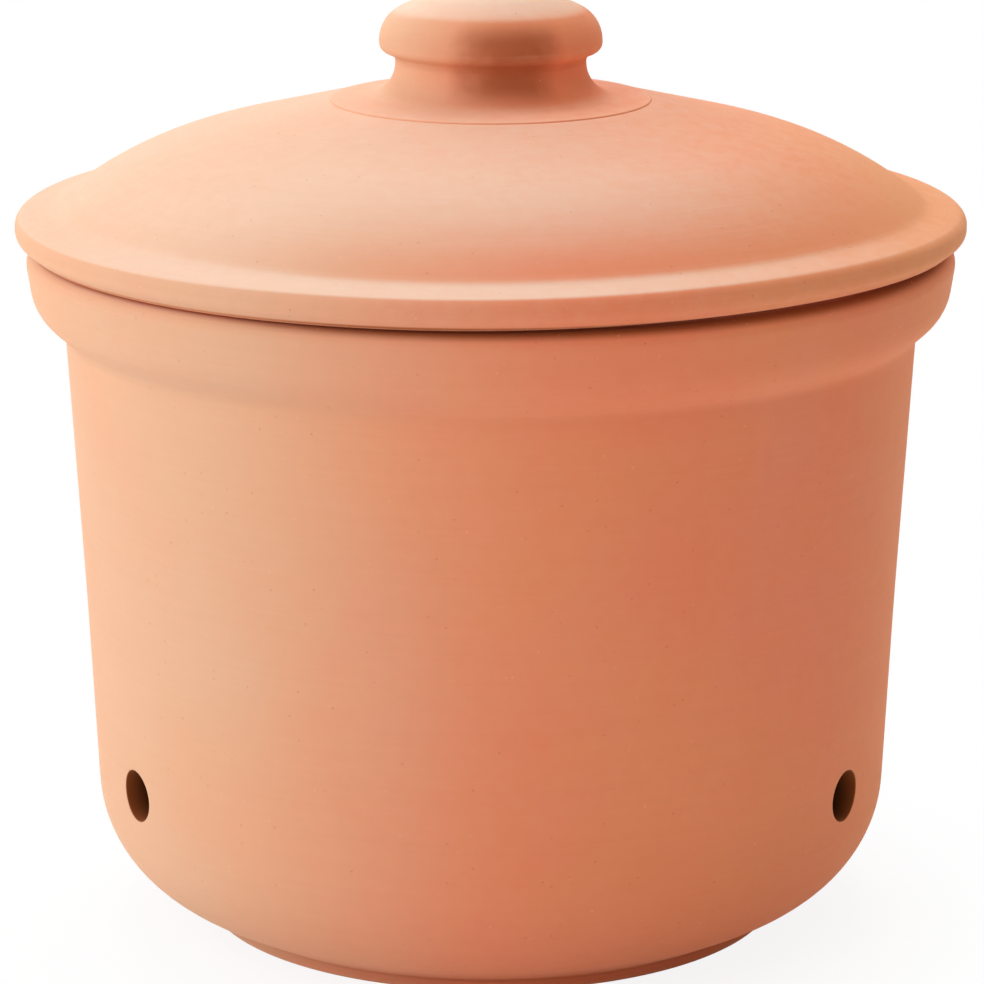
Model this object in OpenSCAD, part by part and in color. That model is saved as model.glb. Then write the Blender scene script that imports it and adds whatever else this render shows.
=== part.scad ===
// Terracotta keeper for potatoes: a turned pot on a low foot, with three air vents near its base
// and a rolled collar, under a loose domed lid whose knob was made apart and luted to its crown.
// Every piece is a body of revolution about Z. The pot stands on z = 0 and is seen from -Y.

/* [Pot] */
// Height of the pot, from the surface it stands on to its rim
pot_h = 175; // [140:1:240]
// Diameter over the rim
rim_d = 236; // [200:1:300]
// Thickness of the clay wall
wall_t = 8; // [6:0.5:10]
// Thickness of the floor
floor_t = 9; // [7:0.5:14]
// How much further in the wall stands at the base than under the collar
wall_taper = 7; // [2:0.5:14]
// How far the wall dips inwards at half height
wall_bow = 0.4; // [0:0.1:1]
// Rounding of that dip
wall_bow_r = 2000; // [500:100:3000]

/* [Collar] */
// Height of the collar, from the crease under it to the rim
collar_h = 22; // [18:0.5:34]
// How far the rim stands out from the crease
collar_out = 10; // [7:0.5:14]
// Height of the slope that leads out of the crease
collar_slope_h = 7; // [4:0.5:10]
// How far the collar still opens above that slope
collar_flare = 2.2; // [0:0.1:4]
// Rounding of the collar's lower edge
collar_r = 12; // [4:0.5:14]
// Rounding of the crease
crease_r = 1.2; // [0.5:0.1:3]
// Rounding of the rim's outer edge
rim_r = 2.4; // [1:0.1:3]
// Rounding of the rim's inner edge
mouth_r = 1.2; // [0.5:0.1:2]

/* [Base] */
// Diameter of the foot
foot_d = 149; // [120:1:170]
// Height of the foot
foot_h = 3; // [2:0.5:8]
// Width of the ring that the foot stands on
foot_ring_w = 13; // [8:0.5:24]
// Depth of the hollow inside that ring
foot_hollow = 2; // [1:0.5:4]
// Height at which the slope of the base would meet the wall
base_h = 16.5; // [12:0.5:26]
// Rounding between base and wall
base_r = 32.5; // [20:0.5:40]
// Rounding between floor and base inside
floor_r = 8; // [2:0.5:14]
// Rounding of the foot's edges
foot_r = 0.8; // [0.3:0.1:0.9]
// Rounding of the small edges on every piece
soft_r = 0.5; // [0.2:0.1:0.6]

/* [Vents] */
// Number of air vents
vent_count = 3; // [1:1:6]
// Diameter of a vent
vent_d = 13; // [8:0.5:20]
// Height of the vents' axes
vent_z = 43; // [38:1:60]

/* [Lid] */
// How far the lid stands out past the rim
lid_overhang = 2; // [0.5:0.5:6]
// How far the lid's edge tucks in to its seat on the rim
lid_tuck = 4.9; // [4:0.1:6]
// Height of that tuck
lid_tuck_h = 3.1; // [1.5:0.1:4]
// Height of the lid's edge above the rim
lid_edge_h = 7.8; // [6:0.2:12]
// Rounding of the lid's edge
lid_edge_r = 2.2; // [0.8:0.1:2.4]
// Width of the flange, from the lid's edge to the foot of the dome
flange_w = 10; // [6:0.5:16]
// How much the flange rises over that width
flange_rise = 1.9; // [0:0.1:4]
// Rounding of the cove between flange and dome
cove_r = 12; // [3:0.5:16]
// Slope of the dome at its foot
dome_foot_angle = 36; // [30:0.5:45]
// Slope of the dome where it meets the knob
dome_top_angle = 13.5; // [8:0.5:18]
// Rounding between these two slopes
dome_r = 95; // [40:1:110]
// Height of the lid's crown above the rim
crown_h = 35.5; // [30:0.5:48]
// Thickness of the lid
lid_t = 8; // [6:0.5:10]

/* [Spigot] */
// How far the spigot reaches down into the mouth
spigot_h = 7; // [4:0.5:9]
// Thickness of the spigot
spigot_t = 6; // [4:0.5:8]
// Gap all round between spigot and mouth
spigot_gap = 2; // [1:0.1:4]
// Rounding of the spigot's edges
spigot_r = 1.5; // [0.5:0.1:1.8]
// Rounding inside the lid where spigot and dome meet
spigot_root_r = 8; // [2:0.5:12]

/* [Knob] */
// Diameter of the knob's skirt
skirt_d = 81; // [70:1:100]
// Width of the flat land that shows round the skirt
land_w = 0.4; // [0.2:0.1:1]
// Height of the skirt's edge
skirt_edge = 0.7; // [0.4:0.1:1.5]
// How much the skirt rises from its edge to the neck
skirt_rise = 1.2; // [0.4:0.1:3]
// Diameter of the neck
neck_d = 48; // [42:0.5:54]
// Rounding between skirt and neck
neck_r = 6; // [2:0.5:7]
// Height of the neck, from the crown to the groove under the head
neck_h = 11.3; // [10:0.1:18]
// Rounding of that groove
groove_r = 2.2; // [0.5:0.1:2.5]
// How far the head stands out from the neck
head_out = 4.1; // [3:0.1:8]
// How much the underside of the head rises over that distance
head_under_rise = 1.6; // [0:0.1:3]
// Rounding of the head's lower edge
head_low_r = 2.4; // [0.5:0.1:2.6]
// Height of the head's side, to where its shoulder would be sharp
head_side_h = 8; // [6:0.1:14]
// How much the side leans in over that height
head_lean = 0.2; // [0:0.1:3]
// Rounding of the shoulder
shoulder_r = 9; // [3:0.5:10]
// How much the top rises from shoulder to middle
head_top_rise = 7.8; // [4:0.1:10]
// Half width of the flat in the middle of the top, before it is rounded off
head_flat = 11; // [6:0.5:14]
// Rounding of the top
head_top_r = 45; // [10:1:50]

/* [Luted joint] */
// Diameter of the tenon under the knob
tenon_d = 28; // [24:0.5:36]
// Gap all round the tenon, filled with slip when the knob is luted
tenon_gap = 0.3; // [0.2:0.1:0.8]
// Diameter of the blind hole up the middle of the knob, which lets it dry and fire evenly
relief_d = 15; // [8:0.5:18]
// Clay left above that hole
relief_roof = 10; // [6:0.5:14]
// Rounding of that hole's end
relief_r = 4; // [1:0.5:6]

/* [Hidden] */
$fn = 180;
clay = "#d98d68";
clay_pale = "#e3a27e";
// Most of a side that its two roundings may take, and the least length or bend that counts
side_share = 0.98;
tiny = 0.001;

// Pot radii and heights
rim_or = rim_d / 2;
crease_or = rim_or - collar_out;
crease_z = pot_h - collar_h;
base_or = crease_or - wall_taper;
mid_z = (base_h + crease_z) / 2;
mid_or = (base_or + crease_or) / 2 - wall_bow;
foot_or = foot_d / 2;
foot_ir = foot_or - foot_ring_w;
floor_z = foot_hollow + floor_t;

// Lid radii and heights
lid_or = rim_or + lid_overhang;
seat_or = lid_or - lid_tuck;
flange_ir = lid_or - flange_w;
flange_z = lid_edge_h + flange_rise;
land_r = skirt_d / 2 + land_w;

// Vectors, and where the line through p along u meets the line through q along v
function unit(v) = v / norm(v);
function left_of(v) = [-v.y, v.x];
function spot(c) = [c.x, c.y];
function meet(p, u, q, v) = p + u * cross(q - p, v) / cross(u, v);
function slope(angle) = [-cos(angle), sin(angle)];

// A corner is [radius, height, rounding]. Directions along a closed outline, before and after corner i
function corner(c, i) = c[(i + len(c)) % len(c)];
function side(c, i) = spot(corner(c, i + 1)) - spot(corner(c, i));
function turn(c, i) = let (u = side(c, i - 1), v = side(c, i)) atan2(cross(u, v), u * v);

// How far each rounding eats into its sides, less where two roundings would meet on one side
function setback(c, i) = corner(c, i)[2] * tan(abs(turn(c, i)) / 2);
function room(c, i) = let (taken = setback(c, i) + setback(c, i + 1), whole = norm(side(c, i)))
    taken > side_share * whole ? side_share * whole / taken : 1;
function fitted(c, i) = min(room(c, i - 1), room(c, i));
function bite(c, i) = setback(c, i) * fitted(c, i);
function arc_start(c, i) = spot(corner(c, i)) - unit(side(c, i - 1)) * bite(c, i);
function arc_end(c, i) = spot(corner(c, i)) + unit(side(c, i)) * bite(c, i);
function is_round(c, i) = bite(c, i) > tiny;

// The part of the corner's triangle that its arc cuts off
module arc_segment(c, i) {
    r = corner(c, i)[2] * fitted(c, i);
    inwards = left_of(unit(side(c, i - 1))) * sign(turn(c, i));
    intersection() {
        translate(arc_start(c, i) + inwards * r) circle(r);
        polygon([arc_start(c, i), spot(corner(c, i)), arc_end(c, i)]);
    }
}

// An outline with its corners rounded by true arcs, corners listed anticlockwise
module rounded_outline(c) {
    all = [for (i = [0 : len(c) - 1]) i];
    difference() {
        union() {
            polygon([for (i = all) each is_round(c, i)
                ? [arc_start(c, i), arc_end(c, i)] : [spot(c[i])]]);
            for (i = all) if (is_round(c, i) && turn(c, i) > 0) arc_segment(c, i);
        }
        for (i = all) if (is_round(c, i) && turn(c, i) < 0) arc_segment(c, i);
    }
}

// An open run of corners carried sideways by the wall's thickness, its roundings kept concentric
function inset(run, t) = [for (i = [0 : len(run) - 1]) let (
    last = len(run) - 1,
    before = unit(spot(run[max(i, 1)]) - spot(run[max(i, 1) - 1])),
    after = unit(spot(run[min(i, last - 1) + 1]) - spot(run[min(i, last - 1)])),
    bend = cross(before, after),
    p = spot(run[i]) + t * left_of(before),
    q = spot(run[i]) + t * left_of(after),
    at = abs(bend) < tiny ? p : meet(p, before, q, after))
    [at.x, at.y, bend > 0 ? max(run[i][2] - t, soft_r) : run[i][2] + t]];

// Outside of the pot from the foot to the rim
pot_outside = [
    [foot_or, foot_h, soft_r],
    [base_or, base_h, base_r],
    [mid_or, mid_z, wall_bow_r],
    [crease_or, crease_z, crease_r],
    [rim_or - collar_flare, crease_z + collar_slope_h, collar_r],
    [rim_or, pot_h, rim_r],
];
pot_inside = inset(pot_outside, wall_t);
level = [1, 0];
base_slope = spot(pot_inside[1]) - spot(pot_inside[0]);
mouth_slope = spot(pot_inside[5]) - spot(pot_inside[4]);
floor_edge = meet([0, floor_z], level, spot(pot_inside[0]), base_slope);
rim_edge = meet([0, pot_h], level, spot(pot_inside[4]), mouth_slope);
// Inside of the mouth at the depth that the lid's spigot reaches
mouth = meet([0, pot_h - spigot_h], level, spot(pot_inside[4]), mouth_slope);

module pot() color(clay) difference() {
    rotate_extrude() rounded_outline(concat(
        [[0, foot_hollow, 0], [foot_ir, foot_hollow, soft_r], [foot_ir, 0, foot_r], [foot_or, 0, foot_r]],
        pot_outside,
        [[rim_edge.x, pot_h, mouth_r]],
        [for (i = [4 : -1 : 1]) pot_inside[i]],
        [[floor_edge.x, floor_z, floor_r], [0, floor_z, 0]]));
    // Vents bored square to the axis, the first one facing the back
    for (i = [0 : vent_count - 1])
        rotate([0, 0, 90 + i * 360 / vent_count])
            translate([foot_ir, 0, vent_z]) rotate([0, 90, 0]) cylinder(d = vent_d, h = rim_or);
}

// Dome of the lid from its foot on the flange to the knob's land
dome_foot = [flange_ir, pot_h + flange_z];
dome_top = [land_r, pot_h + crown_h];
dome_knee = meet(dome_foot, slope(dome_foot_angle), dome_top, slope(dome_top_angle));
dome_outside = [
    [dome_foot.x, dome_foot.y, cove_r],
    [dome_knee.x, dome_knee.y, dome_r],
    [dome_top.x, dome_top.y, 0],
];
dome_inside = inset(dome_outside, lid_t);
spigot_or = mouth.x - spigot_gap;
spigot_ir = spigot_or - spigot_t;
spigot_top = meet([spigot_ir, pot_h], [0, 1], spot(dome_inside[0]), slope(dome_foot_angle));
crown_under = pot_h + crown_h - lid_t;
crown_edge = meet([0, crown_under], level, spot(dome_inside[2]), slope(dome_top_angle));
tenon_hole_r = tenon_d / 2 + tenon_gap;

module lid() color(clay_pale) rotate_extrude() rounded_outline(concat(
    [
        [spigot_ir, pot_h - spigot_h, spigot_r],
        [spigot_or, pot_h - spigot_h, spigot_r],
        [spigot_or, pot_h, soft_r],
        [seat_or, pot_h, soft_r],
        [lid_or, pot_h + lid_tuck_h, lid_edge_r],
        [lid_or, pot_h + lid_edge_h, lid_edge_r],
    ],
    dome_outside,
    [
        [tenon_hole_r, pot_h + crown_h, 0],
        [tenon_hole_r, crown_under, 0],
        [crown_edge.x, crown_under, soft_r],
        dome_inside[1],
        [spigot_ir, spigot_top.y, spigot_root_r],
    ]));

module knob() color(clay_pale) translate([0, 0, pot_h + crown_h]) {
    neck = neck_d / 2;
    head = neck + head_out;
    head_low = neck_h + head_under_rise;
    head_top = head_low + head_side_h + head_top_rise;
    relief_top = head_top - relief_roof;
    rotate_extrude() rounded_outline([
        [relief_d / 2, -lid_t, 0],
        [tenon_d / 2, -lid_t, soft_r],
        [tenon_d / 2, 0, 0],
        [skirt_d / 2, 0, 0],
        [skirt_d / 2, skirt_edge, soft_r],
        [neck, skirt_edge + skirt_rise, neck_r],
        [neck, neck_h, groove_r],
        [head, head_low, head_low_r],
        [head - head_lean, head_low + head_side_h, shoulder_r],
        [head_flat, head_top, head_top_r],
        [0, head_top, 0],
        [0, relief_top, 0],
        [relief_d / 2, relief_top, relief_r],
    ]);
}

pot();
lid();
knob();
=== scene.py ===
"""Finish of a terracotta potato keeper: the pot, its loose lid and the knob luted to the lid.

Every piece is a turned shell: a rounded half outline carried once round the upright axis. Sizes that
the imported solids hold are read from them, and the rest are properties that a user can change.
"""

import math

import bpy
import numpy as np
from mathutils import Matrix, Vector


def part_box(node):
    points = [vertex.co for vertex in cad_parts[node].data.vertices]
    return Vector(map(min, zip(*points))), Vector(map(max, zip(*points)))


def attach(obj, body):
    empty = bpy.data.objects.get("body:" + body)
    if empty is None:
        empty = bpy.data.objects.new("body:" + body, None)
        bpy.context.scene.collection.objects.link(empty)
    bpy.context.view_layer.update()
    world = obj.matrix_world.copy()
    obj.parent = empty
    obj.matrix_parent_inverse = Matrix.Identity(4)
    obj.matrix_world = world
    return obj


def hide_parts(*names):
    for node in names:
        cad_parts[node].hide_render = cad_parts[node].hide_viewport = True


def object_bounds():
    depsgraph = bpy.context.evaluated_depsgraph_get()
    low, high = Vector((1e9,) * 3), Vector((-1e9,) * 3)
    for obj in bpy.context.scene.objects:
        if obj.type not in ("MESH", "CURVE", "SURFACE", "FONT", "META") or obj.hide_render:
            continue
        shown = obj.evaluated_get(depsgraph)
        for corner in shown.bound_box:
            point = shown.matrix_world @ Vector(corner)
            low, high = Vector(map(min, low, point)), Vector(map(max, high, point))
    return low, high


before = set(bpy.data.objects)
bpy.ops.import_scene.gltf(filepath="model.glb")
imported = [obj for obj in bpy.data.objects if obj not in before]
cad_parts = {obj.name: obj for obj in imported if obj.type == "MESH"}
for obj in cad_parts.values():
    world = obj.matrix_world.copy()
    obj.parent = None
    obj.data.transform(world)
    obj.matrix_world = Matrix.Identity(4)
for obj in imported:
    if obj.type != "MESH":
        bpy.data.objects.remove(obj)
CAD_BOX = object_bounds()
POT_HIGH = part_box("pot")[1]
LID_LOW, LID_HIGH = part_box("lid")
KNOB_LOW, KNOB_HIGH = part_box("knob")

bl_info = {
    "name": "Terracotta Potato Keeper",
    "version": (1, 0, 0),
    "blender": (4, 5, 0),
    "location": "View3D > Sidebar > Potato Keeper",
    "description": "Turns the pot, lid and knob of a potato keeper and sets the stage for them",
    "category": "Add Mesh",
}

# Columns of an outline's points: radius, height, how sharply the clay bulges there, length so far
RADIUS, HEIGHT, BULGE, ARC = range(4)

# Values that each point of a mesh carries for its material
SKIN = ("bulge", "arc", "sunk")

# Most of a side that its two roundings may take, and the least length or bend that counts
SIDE_SHARE = 0.98
TINY = 1e-6

# An arc gets at least one face for this much turn, and a rounding this tight counts as a full edge
ARC_TURN = math.radians(9)
FULL_EDGE = 0.0015

# Loops of points at a vent: from the square hole to its lip, over the lip, and along the bore
HOLE_LOOPS, LIP_LOOPS, BORE_LOOPS = 2, 6, 4

# Sides of the round floor, and the width of the camera's sensor in millimetres
FLOOR_SIDES = 96
SENSOR_WIDTH = 36

# Sockets of a Mix node that mixes colours
MIX_FACTOR, MIX_UNDER, MIX_OVER, MIX_RESULT = 0, 6, 7, 2


def length(name, description, default):
    """A property that holds a length."""
    return bpy.props.FloatProperty(
        name=name, description=description, default=default, min=0, precision=5,
        subtype="DISTANCE", unit="LENGTH")


def angle(name, description, degrees):
    """A property that holds an angle, given here in degrees."""
    return bpy.props.FloatProperty(
        name=name, description=description, default=math.radians(degrees),
        subtype="ANGLE", unit="ROTATION")


def number(name, description, default):
    """A property that holds a plain number."""
    return bpy.props.FloatProperty(name=name, description=description, default=default, precision=4)


def share(name, description, default):
    """A property that holds a share from none to all."""
    return bpy.props.FloatProperty(
        name=name, description=description, default=default, min=0, max=1, subtype="FACTOR")


def count(name, description, default):
    """A property that holds a whole number."""
    return bpy.props.IntProperty(name=name, description=description, default=default, min=1)


def colour(name, description, default):
    """A property that holds a colour, in linear light."""
    return bpy.props.FloatVectorProperty(
        name=name, description=description, default=default, size=3, min=0, max=1, subtype="COLOR")


class PotSizes(bpy.types.PropertyGroup):
    """Sizes of the pot."""

    height: length("Height", "From the surface it stands on to the rim", POT_HIGH.z)
    rim_radius: length("Rim radius", "Radius of the rim before its edge is rounded", 0.118)
    wall: length("Wall", "Thickness of the clay wall", 0.008)
    floor: length("Floor", "Thickness of the floor", 0.009)
    taper: length("Taper", "How much further in the wall stands at the base", 0.007)
    bow: length("Bow", "How far the wall dips inwards at half height", 0.0004)
    bow_round: length("Bow rounding", "Rounding of that dip", 2.0)
    collar: length("Collar height", "From the crease under the collar to the rim", 0.022)
    collar_out: length("Collar reach", "How far the rim stands out from the crease", 0.010)
    collar_slope: length("Collar slope", "Height of the slope out of the crease", 0.007)
    collar_flare: length("Collar flare", "How far the collar opens above its slope", 0.0022)
    collar_round: length("Collar rounding", "Rounding of the collar's lower edge", 0.012)
    crease_round: length("Crease rounding", "Rounding of the crease", 0.004)
    rim_round: length("Rim rounding", "Rounding of the rim's outer edge", 0.0042)
    mouth_round: length("Mouth rounding", "Rounding of the rim's inner edge", 0.0012)
    foot_radius: length("Foot radius", "Radius of the foot", 0.0745)
    foot_height: length("Foot height", "Height of the foot", 0.003)
    foot_ring: length("Foot ring", "Width of the ring that the pot stands on", 0.013)
    foot_hollow: length("Foot hollow", "Depth of the hollow inside that ring", 0.002)
    foot_round: length("Foot rounding", "Rounding of the foot's edges", 0.0008)
    base_height: length("Base height", "Where the base's slope would meet the wall", 0.0165)
    base_round: length("Base rounding", "Rounding between base and wall", 0.0325)
    floor_round: length("Floor rounding", "Rounding between floor and base inside", 0.008)
    soft_round: length("Soft rounding", "Rounding of the small edges", 0.0005)


class VentSizes(bpy.types.PropertyGroup):
    """Sizes of the air vents low in the pot's wall."""

    number: count("Vents", "Number of vents, the first one at the back", 3)
    radius: length("Radius", "Radius of a vent", 0.0065)
    height: length("Height", "Height of the vents' axes", 0.043)
    lip: length("Lip", "Rounding of a vent's edges", 0.0004)
    margin: length("Margin", "Height of wall left round a vent before the turned rows go on", 0.004)


class LidSizes(bpy.types.PropertyGroup):
    """Sizes of the lid, with heights above the pot's rim."""

    radius: length("Radius", "Radius over the lid's edge", LID_HIGH.x)
    crown: length("Crown height", "Height of the crown above the rim", LID_HIGH.z - POT_HIGH.z)
    thickness: length("Thickness", "Thickness of the clay", LID_HIGH.z - KNOB_LOW.z)
    seat: length("Seat", "From the edge to the ring that the lid rests on", 0.0075)
    slot: length("Slot", "Height of the dark slot left between edge and rim", 0.0004)
    lip_round: length("Lip rounding", "Rounding of the edge's lower corner", 0.0003)
    tuck: length("Tuck", "How far the edge tucks in to its lower corner", 0.0034)
    tuck_height: length("Tuck height", "Height of that tuck above the rim", 0.0031)
    warp: length("Warp", "How far the fire has lifted the edge at one place", 0.0011)
    warp_side: angle("Warp side", "Way round from the camera's side to the middle of the warp", 43)
    warp_spread: angle("Warp spread", "Way round from there to where the warp ends", 56)
    warp_start: length("Warp start", "Radius from which the lid is warped", 0.06)
    edge: length("Edge height", "Height of the lid's edge", 0.0078)
    edge_round: length("Edge rounding", "Rounding of the lid's edge", 0.0028)
    flange: length("Flange", "From the edge to the foot of the dome", 0.010)
    flange_rise: length("Flange rise", "How much the flange rises over its width", 0.0019)
    cove_round: length("Cove rounding", "Rounding between flange and dome", 0.007)
    foot_slope: angle("Foot slope", "Slope of the dome at its foot", 36)
    top_slope: angle("Top slope", "Slope of the dome where it meets the knob", 13.5)
    dome_round: length("Dome rounding", "Rounding between the dome's two slopes", 0.095)
    spigot: length("Spigot depth", "How far the spigot reaches into the mouth", POT_HIGH.z - LID_LOW.z)
    spigot_wall: length("Spigot wall", "Thickness of the spigot", 0.006)
    spigot_gap: length("Spigot gap", "Gap between spigot and mouth", 0.002)
    spigot_round: length("Spigot rounding", "Rounding of the spigot's edges", 0.0015)
    root_round: length("Root rounding", "Rounding where spigot and dome meet inside", 0.008)


class KnobSizes(bpy.types.PropertyGroup):
    """Sizes of the knob, with heights above the lid's crown."""

    skirt_radius: length("Skirt radius", "Radius of the skirt that is luted to the lid", KNOB_HIGH.x)
    height: length("Height", "Height of the knob", KNOB_HIGH.z - LID_HIGH.z)
    land: length("Land", "Width of the flat land round the skirt", 0.0004)
    skirt_edge: length("Skirt edge", "Height of the skirt's edge", 0.0004)
    skirt_rise: length("Skirt rise", "How much the skirt rises to the neck", 0.0012)
    neck_radius: length("Neck radius", "Radius of the neck", 0.024)
    neck_round: length("Neck rounding", "Rounding between skirt and neck", 0.0085)
    neck_height: length("Neck height", "Height of the groove under the head", 0.0113)
    groove_round: length("Groove rounding", "Rounding of that groove", 0.0022)
    head_out: length("Head reach", "How far the head stands out from the neck", 0.0041)
    head_under: length("Head underside", "How much the head's underside rises", 0.0016)
    head_low_round: length("Head lower rounding", "Rounding of the head's lower edge", 0.0024)
    head_side: length("Head side", "Height of the head's side", 0.008)
    head_lean: length("Head lean", "How much the side leans in", 0.0002)
    shoulder_round: length("Shoulder rounding", "Rounding of the shoulder", 0.009)
    top_flat: length("Top flat", "Half width of the flat in the middle of the top", 0.011)
    top_round: length("Top rounding", "Rounding of the top", 0.045)
    tenon_radius: length("Tenon radius", "Radius of the tenon in the crown", 0.014)
    tenon_gap: length("Tenon gap", "Gap round the tenon", 0.0003)
    relief_radius: length("Relief radius", "Radius of the blind hole up the knob", 0.0075)
    relief_roof: length("Relief roof", "Clay left above that hole", 0.010)
    relief_round: length("Relief rounding", "Rounding of the hole's end", 0.004)


class ClayFinish(bpy.types.PropertyGroup):
    """Colours and texture of the fired clay, with the colours of its painted light and shade."""

    # Painted light: this paler clay lies on the lit left side
    lit_side_clay: colour("Straw clay", "Clay on the side where the kiln was cooler", (0.76, 0.448, 0.284))
    # Painted shade: this deeper rose lies on the shaded right side
    shaded_side_clay: colour("Rose clay", "Clay on the side where the kiln was hotter", (0.88, 0.275, 0.142))
    # Also the colour of the painted light on the lid's right and along the wall's far right edge
    warm: colour("Warm flush", "Orange flush in broad patches", (0.85, 0.36, 0.155))
    pink: colour("Pink bloom", "Rosy bloom in small patches", (0.87, 0.295, 0.19))
    pale: colour("Pale edge", "Dry, rubbed clay on the edges", (0.90, 0.47, 0.30))
    # Used for the clay's own turning lines, and for painted shade in the creases and low on the right
    deep: colour("Deep crease", "Darker clay in the creases", (0.56, 0.16, 0.06))
    # Painted highlight: pale colour on the faces that look up, where light from above falls
    top_highlight: colour("Dust", "Pale dry bloom on the faces that look up", (0.86, 0.6, 0.45))
    # Painted shade: the knob's dark front, where little light falls
    scorch: colour("Scorch", "Brown clay where the flame licked the knob", (0.40, 0.10, 0.035))
    knob_front_shade_side: angle("Scorch side", "Way round from the camera's side to the middle of the scorch", 11)
    # Painted shade in the slot under the lid's edge: the side where it is darkest, its orange-brown colour
    # all round and its darker colour at the front
    seam_shade_side: angle("Grime side", "Way round from the camera's side to the grimiest part of the rim", 25)
    grime: colour("Grime", "Rusty dirt where lid and rim meet", (0.55, 0.1, 0.01))
    soot: colour("Soot", "Darker dirt under the front of the lid's edge", (0.3, 0.065, 0.01))
    # Painted shade: the dark clay inside the vents, darkest where they open inside
    vent: colour("Vent", "Dark, rough clay inside the vents", (0.27, 0.07, 0.016))
    vent_end: colour("Vent end", "Darkest clay where a vent opens inside", (0.05, 0.014, 0.003))
    grog: colour("Grog", "Small dark specks in the clay", (0.42, 0.14, 0.07))
    lime: colour("Lime", "Small pale specks in the clay", (0.90, 0.58, 0.42))
    roughness: share("Roughness", "Roughness of the clay", 0.78)
    powder: share("Powder", "How powdery the clay looks where light grazes it", 0.3)
    relief: share("Relief", "Strength of the grain and the turning lines", 0.35)
    relief_depth: length("Relief depth", "Depth of the grain and the turning lines", 0.0002)
    sheen: share("Sheen", "Soft light along the outline", 0.1)
    sheen_spread: share("Sheen spread", "How widely that light spreads", 0.5)
    sheen_tint: colour("Sheen tint", "Colour of that light", (1.0, 0.72, 0.5))
    specular: share("Specular", "Strength of the clay's dull shine", 0.08)


class StageSettings(bpy.types.PropertyGroup):
    """Camera, lamps, floor and surround."""

    lens: number("Lens", "Focal length in millimetres on a 36 mm sensor", 157.0)
    distance: length("Distance", "From the camera to the middle of the object, level", 1.0719)
    eye: length("Eye height", "Height of the camera", 0.3788)
    aim: length("Aim height", "Height on the axis that the camera looks at", 0.1084)
    aim_side: length("Aim aside", "How far right of the axis the camera looks", 0.0003)
    left_lamp: number("Left lamp", "Watts of the large lamp at the left", 11.5)
    back_lamp: number("Back lamp", "Watts of the lamp high up behind the object", 7.0)
    top_lamp: number("Top lamp", "Watts of the lamp above the object", 8.5)
    front_lamp: number("Front lamp", "Watts of the lamp above the camera", 4.5)
    right_lamp: number("Right lamp", "Watts of the lamp behind the object at the right", 3.2)
    ambient: number("Surround", "Strength of the light from all round", 0.38)
    cool: colour("Cool light", "Colour of the left, back and top lamps", (0.82, 0.91, 1.0))
    warm: colour("Warm light", "Colour of the other lamps and the surround", (1.0, 0.91, 0.82))
    floor_radius: length("Floor radius", "Radius of the white floor", 6.0)
    floor_drop: length("Floor drop", "Hair's breadth between the floor and the foot", 0.0002)
    floor_grey: share("Floor grey", "How much light the floor throws back at the object", 0.93)
    floor_white: share("Floor white", "How far the floor by the object shows as bare white", 0.88)
    shadow_near: length("Shadow start", "Distance from the axis where the shadow starts to fade", 0.08)
    shadow_far: length("Shadow end", "Distance from the axis where the shadow is gone", 0.16)


class KeeperSettings(bpy.types.PropertyGroup):
    """All settings of the potato keeper."""

    pot: bpy.props.PointerProperty(type=PotSizes, name="Pot", description="Sizes of the pot")
    vents: bpy.props.PointerProperty(type=VentSizes, name="Vents", description="Sizes of the vents")
    lid: bpy.props.PointerProperty(type=LidSizes, name="Lid", description="Sizes of the lid")
    knob: bpy.props.PointerProperty(type=KnobSizes, name="Knob", description="Sizes of the knob")
    clay: bpy.props.PointerProperty(type=ClayFinish, name="Clay", description="Look of the clay")
    stage: bpy.props.PointerProperty(type=StageSettings, name="Stage", description="Camera and light")
    step: length("Step", "Distance between the rows of a turned surface", 0.0022)
    columns: count("Columns", "Faces round a piece, a multiple of twelve", 240)


def unit(vectors):
    """Vectors divided by their lengths."""
    return vectors / np.maximum(np.linalg.norm(vectors, axis=-1, keepdims=True), TINY)


def left_of(vectors):
    """Plane vectors turned a quarter turn to the left."""
    return np.stack([-vectors[..., 1], vectors[..., 0]], axis=-1)


def cross(u, v):
    """Signed area spanned by two plane vectors."""
    return u[..., 0] * v[..., 1] - u[..., 1] * v[..., 0]


def meet(p, u, q, v):
    """Where the line through p along u meets the line through q along v."""
    p, u, q, v = (np.asarray(x, float)[:2] for x in (p, u, q, v))
    return p + u * cross(q - p, v) / cross(u, v)


def slope(tilt):
    """Direction that runs inwards and climbs at that angle."""
    return np.array([-math.cos(tilt), math.sin(tilt)])


def inset(corners, thickness, least_round):
    """An open run of corners carried to its left by a thickness, with concentric roundings.

    Each side moves along its own normal, and a corner goes where its two moved sides cross.
    """
    points = corners[:, :2]
    sides = unit(np.diff(points, axis=0))
    before = np.vstack([sides[:1], sides])
    after = np.vstack([sides, sides[-1:]])
    bend = cross(before, after)
    straight = np.abs(bend) < TINY
    start = points + thickness * left_of(before)
    other = points + thickness * left_of(after)
    along = cross(other - start, after) / np.where(straight, 1, bend)
    moved = start + before * np.where(straight, 0, along)[:, None]
    hollow = np.maximum(corners[:, 2] - thickness, least_round)
    rounds = np.where(bend > 0, hollow, corners[:, 2] + thickness)
    return np.column_stack([moved, rounds])


def arc_points(corner, before, turn, radius, bite, step):
    """Points of the arc in one corner: its start is turned about its centre, evenly from 0 to turn."""
    start = corner - before * bite
    centre = start + left_of(before) * np.sign(turn) * radius
    faces = math.ceil(max(abs(turn) / ARC_TURN, abs(turn) * radius / step, 2))
    swing = np.linspace(0, turn, faces + 1)[:, None]
    arm = start - centre
    return centre + np.cos(swing) * arm + np.sin(swing) * left_of(arm)


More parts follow.
